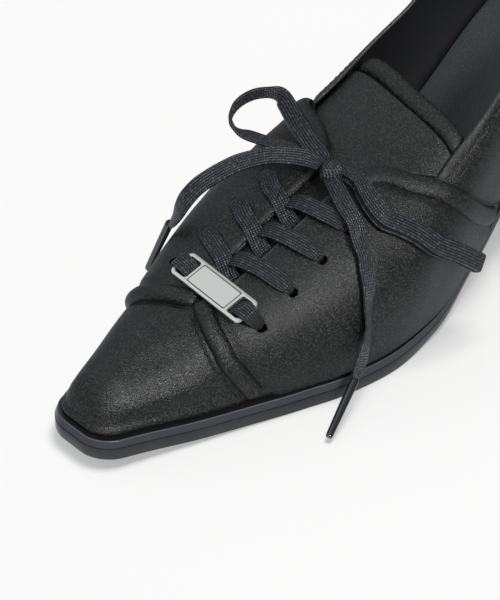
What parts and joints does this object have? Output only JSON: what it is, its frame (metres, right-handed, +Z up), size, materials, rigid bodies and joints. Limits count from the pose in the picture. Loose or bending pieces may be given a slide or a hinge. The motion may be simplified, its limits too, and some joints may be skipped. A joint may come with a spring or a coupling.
{
  "type": "lace-up pump",
  "caption": "Pointed-toe lace-up pump with a block heel, punched facings, rolled bindings, a tongue, a flat lace tied in a bow and a plain metal keeper.",
  "frame": {"origin": "on the floor under the middle of the shoe's box, taken without the loose bow", "axes": "+X from the toe to the heel, +Y towards the wearer's right (the big-toe side of this left shoe), +Z up"},
  "size_m": [0.2457, 0.0887, 0.1108],
  "materials": {
    "upper_leather": "matt fine-grained black",
    "binding_leather": "matt black, rolled",
    "sock_leather": "smooth black lining leather",
    "sole_rubber": "satin blue-black moulded rubber",
    "heel_cover": "smooth black covering",
    "lace_cotton": "waxed flat weave, blue-black",
    "aglet_plastic": "glossy black film",
    "keeper_steel": "satin silver"
  },
  "bodies": {
    "root": {"outsole": "sole_rubber", "heel_tip": "sole_rubber", "heel": "heel_cover", "insole": "sock_leather", "upper": "upper_leather", "tongue": "upper_leather", "tongue_binding": "binding_leather", "facing_near": "upper_leather", "facing_far": "upper_leather", "binding_front_near": "binding_leather", "binding_front_far": "binding_leather", "binding_back_near": "binding_leather", "binding_back_far": "binding_leather", "lace_bar": "lace_cotton", "lace_cross_2": "lace_cotton", "lace_cross_3": "lace_cotton", "lace_cross_4": "lace_cotton", "lace_knot": "lace_cotton", "lace_loop_near": "lace_cotton", "lace_loop_far": "lace_cotton", "lace_end_near": "lace_cotton", "lace_end_far": "lace_cotton", "aglet_near": "aglet_plastic", "aglet_far": "aglet_plastic", "lace_tag": "keeper_steel"}
  },
  "joints": []
}
